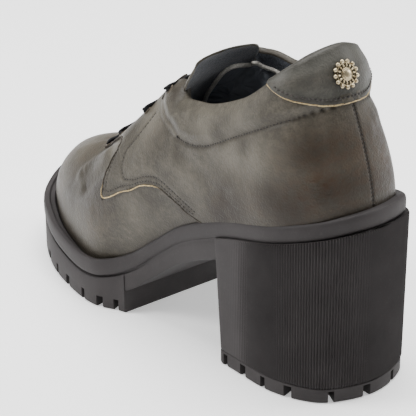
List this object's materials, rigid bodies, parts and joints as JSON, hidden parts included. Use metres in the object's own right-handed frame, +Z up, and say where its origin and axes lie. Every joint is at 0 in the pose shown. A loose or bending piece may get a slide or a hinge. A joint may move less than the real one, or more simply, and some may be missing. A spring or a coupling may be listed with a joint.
{
  "type": "heeled derby shoe",
  "caption": "Low-cut laced derby shoe on a thick moulded sole with a high ribbed block heel, a padded collar, a heel tab with a round stud, open at the top.",
  "frame": {"origin": "middle of the shoe's length and width, on the floor plane the shoe stands on", "axes": "+Z up, -Y towards the toe, +Y towards the heel, +X towards the lateral side (the outside of a left foot)"},
  "size_m": [0.092, 0.2598, 0.163],
  "materials": {
    "sole_rubber": "matt",
    "insole_cloth": "matt",
    "upper_leather": "satin, worn",
    "tongue_leather": "satin, worn",
    "tab_leather": "satin, worn",
    "lace_cord": "matt",
    "stud_metal": "antique"
  },
  "bodies": {
    "root": {"sole": "sole_rubber", "insole": "insole_cloth", "upper": "upper_leather", "tongue": "tongue_leather", "heel_tab": "tab_leather", "laces": "lace_cord", "stud": "stud_metal"}
  },
  "joints": []
}
